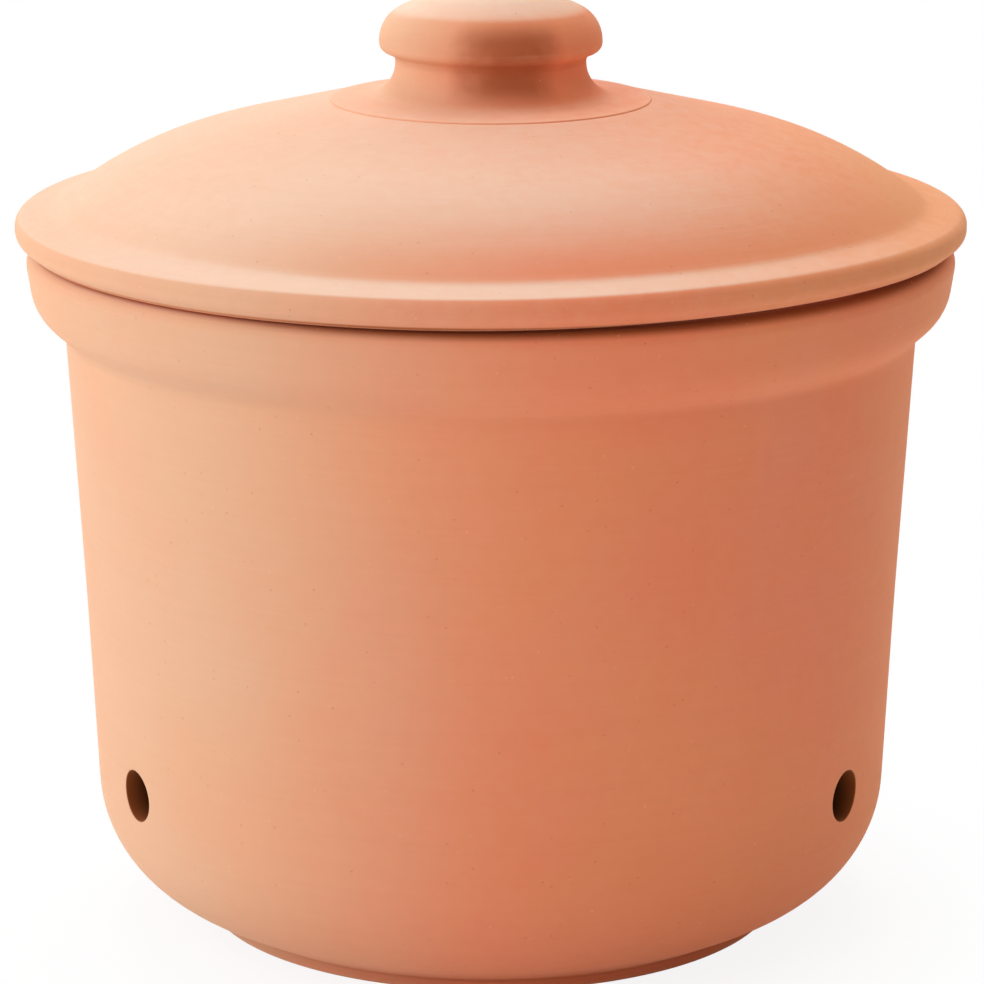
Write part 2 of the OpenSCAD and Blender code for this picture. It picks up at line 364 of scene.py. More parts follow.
def rounded_outline(corners, step, closed=False):
    """Points of an outline whose corners (radius, height, rounding) are replaced by arcs.

    An arc takes rounding * tan(turn / 2) from both its sides. Where two arcs would overlap on one side,
    both shrink alike. Straight stretches are divided evenly at about the step.
    """
    corners = np.asarray(corners, float)
    points = corners[:, :2]
    after = np.roll(points, -1, axis=0) - points
    before = np.roll(after, 1, axis=0)
    turn = np.arctan2(cross(before, after), np.sum(before * after, axis=1))
    setback = corners[:, 2] * np.tan(np.abs(turn) / 2)
    if not closed:
        setback[[0, -1]] = 0
    taken = setback + np.roll(setback, -1)
    room = np.minimum(1, SIDE_SHARE * np.linalg.norm(after, axis=1) / np.maximum(taken, TINY))
    if not closed:
        room[-1] = 1
    fitted = np.minimum(room, np.roll(room, 1))
    ways = unit(before)
    stretches = []
    for i, corner in enumerate(points):
        radius = corners[i, 2] * fitted[i]
        bite = setback[i] * fitted[i]
        spots = corner[None]
        bulge = 0.0
        if bite > TINY:
            spots = arc_points(corner, ways[i], turn[i], radius, bite, step)
            bulge = math.copysign(min(FULL_EDGE / radius, 1), turn[i])
        stretches.append(np.column_stack([spots, np.full(len(spots), bulge)]))
    joined = []
    for here, there in zip(stretches, stretches[1:] + stretches[:1]):
        gap = np.linalg.norm(there[0, :2] - here[-1, :2])
        parts = max(math.ceil(gap / step), 1)
        between = np.linspace(here[-1], there[0], parts + 1)[1:-1]
        between[:, BULGE] = 0
        joined += [here, between]
    outline = np.concatenate(joined if closed else joined[:-1])
    return with_arc(outline)


def with_arc(outline):
    """The outline with the length travelled along it as its last column."""
    moves = np.linalg.norm(np.diff(outline[:, :2], axis=0), axis=1)
    return np.column_stack([outline[:, :3], np.concatenate([[0], np.cumsum(moves)])])


def even_band(run, low, high, cells):
    """A run that climbs or falls, with its rows between two heights spaced evenly, and where they start."""
    falls = run[-1, HEIGHT] < run[0, HEIGHT]
    climb = run[::-1] if falls else run
    inside = (climb[:, HEIGHT] > low - TINY) & (climb[:, HEIGHT] < high + TINY)
    heights = np.linspace(low, high, cells + 1)
    band = np.column_stack([np.interp(heights, climb[:, HEIGHT], climb[:, k]) for k in range(3)])
    band[:, HEIGHT] = heights
    below = climb[climb[:, HEIGHT] <= low - TINY, :3]
    above = climb[climb[:, HEIGHT] >= high + TINY, :3]
    if not inside.any():
        raise ValueError("the wall has no rows at the height of the vents")
    rows = np.concatenate([below, band, above])
    if falls:
        return rows[::-1], len(above)
    return rows, len(below)


def open_skin(outline):
    """Skin values of an outline's points, none of which is sunk into a vent."""
    return np.column_stack([outline[:, [BULGE, ARC]], np.zeros(len(outline))])


class Shell:
    """Points, faces and point values of one turned piece, gathered before they become a mesh."""

    def __init__(self):
        self.points = np.zeros((0, 3))
        self.values = np.zeros((0, len(SKIN)))
        self.faces = []

    def add_points(self, points, values):
        """Adds points with their skin values, and gives back their numbers."""
        first = len(self.points)
        self.points = np.concatenate([self.points, points.reshape(-1, 3)])
        self.values = np.concatenate([self.values, values.reshape(-1, len(SKIN))])
        return np.arange(first, len(self.points)).reshape(points.shape[:-1])

    def turn(self, outline, columns):
        """Carries an outline round the axis: point (r, z) goes to (r cos a, r sin a, z), angle by angle."""
        around = np.arange(columns) * (2 * math.pi / columns)
        radius = outline[:, RADIUS, None]
        rings = np.stack(np.broadcast_arrays(
            radius * np.cos(around), radius * np.sin(around), outline[:, HEIGHT, None]), axis=-1)
        return self.add_points(rings, np.broadcast_to(open_skin(outline)[:, None], rings.shape))

    def strip(self, loops, keep=None):
        """Four-sided faces between each closed loop of points and the next one."""
        ahead = np.roll(loops, -1, axis=1)
        quads = np.stack([loops[:-1], ahead[:-1], ahead[1:], loops[1:]], axis=-1)
        self.faces.append(quads.reshape(-1, 4) if keep is None else quads[keep])

    def cap(self, loop, outline_end, starts):
        """A fan of triangles from a loop to the point where the outline meets the axis."""
        pole = self.add_points(np.array([[0, 0, outline_end[HEIGHT]]]), open_skin(outline_end[None]))[0]
        ahead = np.roll(loop, -1)
        middle = np.full(len(loop), pole)
        corners = [middle, ahead, loop] if starts else [loop, ahead, middle]
        self.faces.append(np.stack(corners, axis=-1))

    def to_object(self, name, material):
        """Makes the mesh object, with smooth faces and without the points that no face uses."""
        used, compact = np.unique(np.concatenate([f.ravel() for f in self.faces]), return_inverse=True)
        sides = np.concatenate([np.full(len(f), f.shape[1]) for f in self.faces])
        mesh = bpy.data.meshes.new(name)
        mesh.vertices.add(len(used))
        mesh.vertices.foreach_set("co", self.points[used].astype(np.float32).ravel())
        mesh.loops.add(len(compact))
        mesh.loops.foreach_set("vertex_index", compact.astype(np.int32).ravel())
        mesh.polygons.add(len(sides))
        mesh.polygons.foreach_set("loop_start", (np.cumsum(sides) - sides).astype(np.int32))
        for key, column in zip(SKIN, self.values[used].T):
            layer = mesh.attributes.new(key, "FLOAT", "POINT")
            layer.data.foreach_set("value", column.astype(np.float32))
        mesh.update(calc_edges=True)
        mesh.validate()
        mesh.shade_smooth()
        mesh.materials.append(material)
        piece = bpy.data.objects.new(name, mesh)
        bpy.context.scene.collection.objects.link(piece)
        return piece


def pot_outside(pot):
    """Corners of the pot's outside from the foot to the rim."""
    crease_radius = pot.rim_radius - pot.collar_out
    crease_height = pot.height - pot.collar
    base_radius = crease_radius - pot.taper
    return np.array([
        (pot.foot_radius, pot.foot_height, pot.soft_round),
        (base_radius, pot.base_height, pot.base_round),
        ((base_radius + crease_radius) / 2 - pot.bow, (pot.base_height + crease_height) / 2, pot.bow_round),
        (crease_radius, crease_height, pot.crease_round),
        (pot.rim_radius - pot.collar_flare, crease_height + pot.collar_slope, pot.collar_round),
        (pot.rim_radius, pot.height, pot.rim_round),
    ])


def mouth_radius(pot, depth):
    """Radius of the pot's mouth at a depth under its rim, along the line of its inside."""
    collar, rim = inset(pot_outside(pot), pot.wall, pot.soft_round)[-2:]
    return meet((0, pot.height - depth), (1, 0), collar, rim - collar)[0]


def pot_outline(pot, step):
    """Points of the pot's half section, from under its foot, up outside, and down inside to its floor."""
    outside = pot_outside(pot)
    inside = inset(outside, pot.wall, pot.soft_round)
    floor_height = pot.foot_hollow + pot.floor
    floor_edge = meet((0, floor_height), (1, 0), inside[0], inside[1] - inside[0])
    foot_inner = pot.foot_radius - pot.foot_ring
    corners = np.vstack([
        (0, pot.foot_hollow, 0),
        (foot_inner, pot.foot_hollow, pot.soft_round),
        (foot_inner, 0, pot.foot_round),
        (pot.foot_radius, 0, pot.foot_round),
        outside,
        (mouth_radius(pot, 0), pot.height, pot.mouth_round),
        inside[-2:0:-1],
        (floor_edge[0], floor_height, pot.floor_round),
        (0, floor_height, 0),
    ])
    return rounded_outline(corners, step)


def vent_layers(vents, outer, inner, square_out, square_in):
    """Loops of points that lead from a square hole in the outer wall through a vent to the inner wall.

    In the vent's own frame a point is (outwards, sideways, up). On the wall it lies at the depth
    sqrt(r(z)^2 - sideways^2). The square hole shrinks evenly to a circle, the circle rolls over a
    quarter-round lip into the bore, and the same is done backwards at the inner wall. A point is sunk
    by 0 on the wall, by 1 where the bore starts and by 2 where it ends.
    """
    def on_wall(wall, flat):
        radius = np.interp(vents.height + flat[..., 1], wall[:, HEIGHT], wall[:, RADIUS])
        return np.sqrt(radius ** 2 - flat[..., 0] ** 2)

    spokes = unit(square_out)
    rim = spokes * (vents.radius + vents.lip)
    blend = np.linspace(0, 1, HOLE_LOOPS + 2)[1:-1, None, None]
    roll = np.linspace(0, math.pi / 2, LIP_LOOPS)[:, None, None]
    rings = spokes * (vents.radius + vents.lip * (1 - np.sin(roll)))
    drop = vents.lip * (1 - np.cos(roll[..., 0]))
    edge = np.sin(2 * roll[..., 0]) * np.ones(len(spokes))
    flat_out = np.concatenate([square_out + (rim - square_out) * blend, rings])
    flat_in = np.concatenate([rings[::-1], rim + (square_in - rim) * blend])
    deep_out = on_wall(outer, flat_out)
    deep_in = on_wall(inner, flat_in)
    deep_out[len(blend):] -= drop
    deep_in[:len(rings)] += drop[::-1]
    run = np.linspace(0, 1, BORE_LOOPS + 2)[1:-1, None]
    deep_bore = deep_out[-1] + (deep_in[0] - deep_out[-1]) * run
    flat_bore = np.broadcast_to(rings[-1], (len(run),) + rings[-1].shape)
    flat = np.concatenate([flat_out, flat_bore, flat_in])
    deep = np.concatenate([deep_out, deep_bore, deep_in])
    bulge = np.zeros(deep.shape)
    bulge[len(blend):len(flat_out)] = edge
    bulge[-len(flat_in):-len(blend)] = edge[::-1]
    sunk = np.zeros(deep.shape)
    sunk[len(blend):len(flat_out)] = np.sin(roll[..., 0])
    sunk[len(flat_out):-len(flat_in)] = 1 + run
    sunk[-len(flat_in):-len(blend)] = 2 * np.sin(roll[::-1, :, 0])
    return np.stack([deep, flat[..., 0], vents.height + flat[..., 1]], axis=-1), bulge, sunk


def ring_round(rows, columns):
    """The border of a block of points, anticlockwise from its lower left corner."""
    return np.concatenate([
        np.stack([np.full(len(columns) - 1, rows[0]), columns[:-1]], axis=-1),
        np.stack([rows[:-1], np.full(len(rows) - 1, columns[-1])], axis=-1),
        np.stack([np.full(len(columns) - 1, rows[-1]), columns[:0:-1]], axis=-1),
        np.stack([rows[:0:-1], np.full(len(rows) - 1, columns[0])], axis=-1),
    ])


def turned_pot(settings):
    """The pot's shell: its outline turned round, with a block of faces at each vent given to the vent."""
    pot, vents, columns = settings.pot, settings.vents, settings.columns
    outline = pot_outline(pot, settings.step)
    top = int(np.argmax(outline[:, HEIGHT]))
    low = int(np.argmax(outline[:top, HEIGHT] > pot.foot_height))
    reach = vents.radius + vents.margin
    cells = 2 * math.ceil(reach / settings.step) + 2
    bottom, ceiling = vents.height - reach, vents.height + reach
    outer, outer_first = even_band(outline[low:top, :3], bottom, ceiling, cells)
    inner, inner_first = even_band(outline[top:-1, :3], bottom, ceiling, cells)
    outline = with_arc(np.concatenate([outline[:low, :3], outer, inner, outline[-1:, :3]]))
    outer_rows = low + outer_first + np.arange(cells + 1)
    inner_rows = (low + len(outer) + inner_first + np.arange(cells + 1))[::-1]

    shell = Shell()
    loops = shell.turn(outline[1:-1], columns)
    keep = np.ones((len(loops) - 1, columns), bool)
    half = math.ceil(reach / (outer[outer_first, RADIUS] * 2 * math.pi / columns))
    spread = np.arange(-half, half + 1)
    border_out = ring_round(outer_rows - 1, spread)
    border_in = ring_round(inner_rows - 1, spread)
    flat = [
        np.column_stack([
            outline[border[:, 0] + 1, RADIUS] * np.sin(border[:, 1] * 2 * math.pi / columns),
            outline[border[:, 0] + 1, HEIGHT] - vents.height])
        for border in (border_out, border_in)]
    layers, bulge, sunk = vent_layers(vents, outer, inner[::-1], *flat)
    arcs = np.interp(layers[..., 2], outer[:, HEIGHT], outline[low:low + len(outer), ARC])
    # The first vent is a quarter turn from +X, at the back
    for k in range(vents.number):
        column = columns // 4 + k * columns // vents.number
        facing = column * 2 * math.pi / columns
        out, aside, up = np.moveaxis(layers, -1, 0)
        placed = np.stack([
            out * math.cos(facing) - aside * math.sin(facing),
            out * math.sin(facing) + aside * math.cos(facing),
            up], axis=-1)
        tube = shell.add_points(placed, np.stack([bulge, arcs, sunk], axis=-1))
        first = loops[border_out[:, 0], (border_out[:, 1] + column) % columns]
        last = loops[border_in[:, 0], (border_in[:, 1] + column) % columns]
        shell.strip(np.vstack([first, tube, last]))
        block = (spread[:-1] + column) % columns
        keep[np.ix_(outer_rows[:-1] - 1, block)] = False
        keep[np.ix_(inner_rows[1:] - 1, block)] = False
    shell.strip(loops, keep)
    shell.cap(loops[0], outline[0], starts=True)
    shell.cap(loops[-1], outline[-1], starts=False)
    return shell


def lid_outline(settings):
    """Points of the lid's section: spigot, seat, edge, flange and dome outside, then back inside."""
    pot, lid, knob = settings.pot, settings.lid, settings.knob
    rim = pot.height
    crown = rim + lid.crown
    dome_foot = np.array([lid.radius - lid.flange, rim + lid.edge + lid.flange_rise])
    dome_top = np.array([knob.skirt_radius + knob.land, crown])
    dome_knee = meet(dome_foot, slope(lid.foot_slope), dome_top, slope(lid.top_slope))
    dome = np.vstack([
        (*dome_foot, lid.cove_round),
        (*dome_knee, lid.dome_round),
        (*dome_top, 0),
    ])
    under_foot, under_knee, under_top = inset(dome, lid.thickness, pot.soft_round)
    spigot_outer = mouth_radius(pot, lid.spigot) - lid.spigot_gap
    spigot_inner = spigot_outer - lid.spigot_wall
    root = meet((spigot_inner, rim), (0, 1), under_foot, slope(lid.foot_slope))
    ceiling = crown - lid.thickness
    crown_edge = meet((0, ceiling), (1, 0), under_top, slope(lid.top_slope))
    hole = knob.tenon_radius + knob.tenon_gap
    corners = np.vstack([
        (spigot_inner, rim - lid.spigot, lid.spigot_round),
        (spigot_outer, rim - lid.spigot, lid.spigot_round),
        (spigot_outer, rim, pot.soft_round),
        (lid.radius - lid.seat, rim, 0),
        (lid.radius - lid.seat, rim + lid.slot, 0),
        (lid.radius - lid.tuck, rim + lid.slot, lid.lip_round),
        (lid.radius, rim + lid.tuck_height, lid.edge_round),
        (lid.radius, rim + lid.edge, lid.edge_round),
        dome,
        (hole, crown, pot.soft_round),
        (hole, ceiling, pot.soft_round),
        (crown_edge[0], ceiling, pot.soft_round),
        under_knee,
        (spigot_inner, root[1], lid.root_round),
    ])
    return rounded_outline(corners, settings.step, closed=True)


def turned_lid(settings):
    """The lid's shell: its section is a closed ring carried round the axis.

    The fire has warped it: a point at radius r, an angle d away from the middle of the warp, is lifted
    by warp * s(r) * cos(d / spread * 90 degrees)^2, as far as d stays within the spread, where s rises
    smoothly from 0 to 1 between the start of the warp and the edge.
    """
    lid = settings.lid
    shell = Shell()
    loops = shell.turn(lid_outline(settings), settings.columns)
    shell.strip(np.vstack([loops, loops[:1]]))
    x, y = shell.points[:, 0], shell.points[:, 1]
    out = np.clip((np.hypot(x, y) - lid.warp_start) / (lid.radius - lid.warp_start), 0, 1)
    turn = np.arctan2(x, -y) - lid.warp_side
    aside = np.arctan2(np.sin(turn), np.cos(turn)) / lid.warp_spread
    lobe = np.cos(np.clip(aside, -1, 1) * math.pi / 2) ** 2
    shell.points[:, 2] += lid.warp * out ** 2 * (3 - 2 * out) * lobe
    return shell


def knob_outline(settings):
    """Points of the knob's half section: up its blind hole, round the tenon, and over skirt and head."""
    pot, lid, knob = settings.pot, settings.lid, settings.knob
    head = knob.neck_radius + knob.head_out
    head_low = knob.neck_height + knob.head_under
    shoulder = head_low + knob.head_side
    relief_top = knob.height - knob.relief_roof
    corners = np.array([
        (0, relief_top, 0),
        (knob.relief_radius, relief_top, knob.relief_round),
        (knob.relief_radius, -lid.thickness, pot.soft_round),
        (knob.tenon_radius, -lid.thickness, pot.soft_round),
        (knob.tenon_radius, 0, 0),
        (knob.skirt_radius, 0, 0),
        (knob.skirt_radius, knob.skirt_edge, pot.soft_round),
        (knob.neck_radius, knob.skirt_edge + knob.skirt_rise, knob.neck_round),
        (knob.neck_radius, knob.neck_height, knob.groove_round),
        (head, head_low, knob.head_low_round),
        (head - knob.head_lean, shoulder, knob.shoulder_round),
        (knob.top_flat, knob.height, knob.top_round),
        (0, knob.height, 0),
    ])
    corners[:, HEIGHT] += pot.height + lid.crown
    return rounded_outline(corners, settings.step)


def turned_knob(settings):
    """The knob's shell: its outline turned round, with a cap at each end on the axis."""
    outline = knob_outline(settings)
    shell = Shell()
    loops = shell.turn(outline[1:-1], settings.columns)
    shell.strip(loops)
    shell.cap(loops[0], outline[0], starts=True)
    shell.cap(loops[-1], outline[-1], starts=False)
    return shell


class Wire:
    """A node's output that can be reckoned with: an operator adds the Math node for its sum."""

    def __init__(self, recipe, socket):
        self.recipe = recipe
        self.socket = socket

    def __getitem__(self, output):
        return Wire(self.recipe, self.socket.node.outputs[output])

    def reckon(self, operation, first, second):
        """A Math node with that operation."""
        return self.recipe.add("ShaderNodeMath", {"operation": operation}, {0: first, 1: second})

    def __add__(self, other):
        return self.reckon("ADD", self, other)

    def __radd__(self, other):
        return self.reckon("ADD", other, self)

    def __sub__(self, other):
        return self.reckon("SUBTRACT", self, other)

    def __rsub__(self, other):
        return self.reckon("SUBTRACT", other, self)

    def __mul__(self, other):
        return self.reckon("MULTIPLY", self, other)

    def __rmul__(self, other):
        return self.reckon("MULTIPLY", other, self)


class Recipe:
    """The nodes of one material or of the surround."""

    def __init__(self, tree):
        tree.nodes.clear()
        self.tree = tree

    def add(self, kind, settings=None, sockets=None):
        """A node of that type, with its settings made first and then its sockets set or linked."""
        node = self.tree.nodes.new(kind)
        for key, value in (settings or {}).items():
            setattr(node, key, value)
        for key, value in (sockets or {}).items():
            if isinstance(value, Wire):
                self.tree.links.new(value.socket, node.inputs[key])
            else:
                node.inputs[key].default_value = value
        return Wire(self, node.outputs[0]) if node.outputs else None

    def noise(self, vector, scale, detail, roughness):
        """Noise from 0 to 1, with its features about 1 / scale metres wide."""
        return self.add("ShaderNodeTexNoise", {"noise_dimensions": "3D"}, {
            "Vector": vector, "Scale": scale, "Detail": detail, "Roughness": roughness})

    def smooth(self, value, low, high):
        """0 below low and 1 above high, with a soft step between them."""
        return self.add("ShaderNodeMapRange", {"interpolation_type": "SMOOTHSTEP"}, {
            "Value": value, "From Min": low, "From Max": high})

    def tint(self, under, over, factor):
        """One colour laid over another by a factor."""
        rgba = [(*c, 1) if not isinstance(c, Wire) else c for c in (under, over)]
        return self.add("ShaderNodeMix", {"data_type": "RGBA"}, {
            MIX_FACTOR: factor, MIX_UNDER: rgba[0], MIX_OVER: rgba[1]})[MIX_RESULT]


# Patterns of noise in the clay: features per metre, or per turning line, then detail and roughness
PATTERNS = {
    "drift": (7, 2, 0.5),
    "flush": (14, 3, 0.5),
    "bloom": (31, 4, 0.6),
    "cloud": (240, 3, 0.6),
    "grain": (1400, 3, 0.7),
    "turning": (1, 3, 0.6),
}

# Cells for specks to a metre, and the middle of a pattern's range
SPECKS_PER_METRE = 480
MIDDLE = 0.5

# Turning lines to a metre of outline, and how far they change on the way round
LINES_PER_METRE = 900
LINE_CHANGE = 1.6

# How much faster the painted light and shade change across the knob, and how far their border drifts in
# metres
KNOB_SIDE_SPEED = 2
DRIFT_REACH = 0.08

# How far the patterns make rubbed edges, the painted shade in the creases and the painted shade on the knob
# uneven
UNEVEN_EDGE, UNEVEN_CREASE, UNEVEN_KNOB_SHADE = 0.6, 0.4, 0.08

# Where each mark starts and where it is full: in metres, as a cosine or as a level of its pattern
SPANS = {
    "on_knob": (LID_HIGH.z, LID_HIGH.z + 0.004),
    "kiln": (-0.085, 0.03),
    "toast_right": (0.02, 0.09),
    "toast_lid": (POT_HIGH.z, POT_HIGH.z + 0.004),
    "toast_edge": (0.08, 0.105),
    "flush": (0.38, 0.68),
    "bloom": (0.42, 0.7),
    "grog_dot": (0.08, 0.2),
    "grog_cell": (0.9, 0.92),
    "lime_dot": (0.06, 0.18),
    "lime_cell": (0.93, 0.95),
    "dust_upward": (0.78, 0.97),
    "dust_left": (-0.13, -0.04),
    "dust_front": (-0.03, -0.11),
    "dust_right": (0, 0.1),
    "dust_knob": (LID_HIGH.z, LID_HIGH.z + 0.0008),
    "dust_top": (KNOB_HIGH.z - 0.01, KNOB_HIGH.z - 0.004),
    "rubbed": (0.35, 1),
    "crease": (0.3, 1),
    "crease_side": (-0.06, 0),
    "singed_side": (0, 0.07),
    "singed_base": (0.055, 0.005),
    "seam": (POT_HIGH.z - 0.0014, POT_HIGH.z - 0.0002),
    "soot_front": (0.45, 0.9),
    "soot": (POT_HIGH.z - 0.0025, POT_HIGH.z - 0.0005),
    "rim_edge": (POT_HIGH.x - 0.006, POT_HIGH.x - 0.003),
    "rim_clear": (POT_HIGH.z + 0.0009, POT_HIGH.z + 0.0016),
    "scorch_front": (0.8, 1),
    "scorch_neck": (LID_HIGH.z + 0.001, LID_HIGH.z + 0.007),
    "scorch_top": (KNOB_HIGH.z - 0.011, KNOB_HIGH.z - 0.004),
    "vent": (0.3, 0.8),
    "vent_end": (1, 2),
}

# How strongly each mark shows
STRENGTHS = {
    "flush": 0.15, "flush_hot": 0.25, "bloom": 0.1, "bloom_hot": 0.25, "toast_lid": 0.45,
    "toast_edge": 0.35, "cloud": 0.2, "scorch": 0.8, "grime": 0.65, "soot": 0.75, "turning": 0.12,
    "rubbed": 0.25, "crease": 0.35, "singed": 0.3, "grog": 0.25, "lime": 0.3, "grain_rough": 0.12,
}

# Levels at which the cloud and the turning lines start to colour the clay
CLOUD_LEVEL, TURNING_LEVEL = 0.35, 0.62

# Painted highlight on the faces that look up: its even share, what the front, the top and the cloud add,
# what the right and the knob lose, and how much steeper a face at the left may be and still get it
TOP_HIGHLIGHT = {"even": 0.28, "front": 0.42, "top": 0.75, "cloud": 0.4, "right": 0.4, "knob": 0.8, "left": 0.2}

# Height that each pattern gives the surface, and how far the grog is sunk
HEIGHTS = {"grain": 0.35, "cloud": 0.5, "turning": 0.9}
GROG_PIT = 0.5


def fade(recipe, mark, value):
    """0 before the start of a mark's span and 1 past its end."""
    return recipe.smooth(value, *SPANS[mark])


def lies_toward(heading, way):
    """Cosine of the way round from a point to a direction, which is counted from the camera's side."""
    return heading["X"] * math.sin(way) - heading["Y"] * math.cos(way)


def clay_patterns(recipe, place, heading, arc):
    """The patterns of noise by name. The turning lines follow the wheel and the outline."""
    wheel = recipe.add("ShaderNodeCombineXYZ", None, {
        "X": heading["X"] * LINE_CHANGE, "Y": heading["Y"] * LINE_CHANGE, "Z": arc * LINES_PER_METRE})
    return {
        name: recipe.noise(wheel if name == "turning" else place, *values)
        for name, values in PATTERNS.items()}


def clay_specks(recipe, place):
    """Dark grog and pale lime: round dots in a few cells of a pattern of cells."""
    cells = recipe.add("ShaderNodeTexVoronoi", {"feature": "F1"}, {
        "Vector": place, "Scale": SPECKS_PER_METRE})
    pick = recipe.add("ShaderNodeSeparateColor", None, {0: cells["Color"]})
    grog = (1 - fade(recipe, "grog_dot", cells["Distance"])) * fade(recipe, "grog_cell", pick["Red"])
    lime = (1 - fade(recipe, "lime_dot", cells["Distance"])) * fade(recipe, "lime_cell", pick["Green"])
    return grog, lime


def painted_top_highlight(recipe, axes, side, cloud):
    """Painted highlight: pale colour on the faces that look up, most of it at the lid's front and on the
    knob's top.
    """
    normal = recipe.add("ShaderNodeNewGeometry")["Normal"]
    facing = recipe.add("ShaderNodeSeparateXYZ", None, {0: normal})
    upward = facing["Z"] + TOP_HIGHLIGHT["left"] - TOP_HIGHLIGHT["left"] * fade(recipe, "dust_left", side)
    highlight_share = TOP_HIGHLIGHT["even"] + TOP_HIGHLIGHT["front"] * fade(recipe, "dust_front", axes["Y"])
    highlight_share = highlight_share - TOP_HIGHLIGHT["right"] * fade(recipe, "dust_right", side)
    highlight_share = highlight_share * (1 - TOP_HIGHLIGHT["knob"] * fade(recipe, "dust_knob", axes["Z"]))
    highlight_share = highlight_share + TOP_HIGHLIGHT["top"] * fade(recipe, "dust_top", axes["Z"])
    return fade(recipe, "dust_upward", upward) * (highlight_share + TOP_HIGHLIGHT["cloud"] * cloud)


def seam_shading(recipe, axes, level, front):
    """Painted shade where lid and rim meet: an orange-brown shade all round, and a darker shade at the
    front.
    """
    away = recipe.add("ShaderNodeVectorMath", {"operation": "LENGTH"}, {0: level})["Value"]
    at_rim = fade(recipe, "rim_edge", away) * (1 - fade(recipe, "rim_clear", axes["Z"]))
    seam = fade(recipe, "seam", axes["Z"]) * at_rim
    soot = fade(recipe, "soot_front", front) * fade(recipe, "soot", axes["Z"]) * at_rim
    return seam, soot


def painted_knob_shade(recipe, axes, front, bloom):
    """Painted shade on the knob's front: strongest on its neck, gone at the skirt and the top."""
    knob_shade_mask = fade(recipe, "scorch_front", front + (bloom - MIDDLE) * UNEVEN_KNOB_SHADE)
    knob_shade_mask = knob_shade_mask * fade(recipe, "scorch_neck", axes["Z"])
    return knob_shade_mask * (1 - fade(recipe, "scorch_top", axes["Z"]))


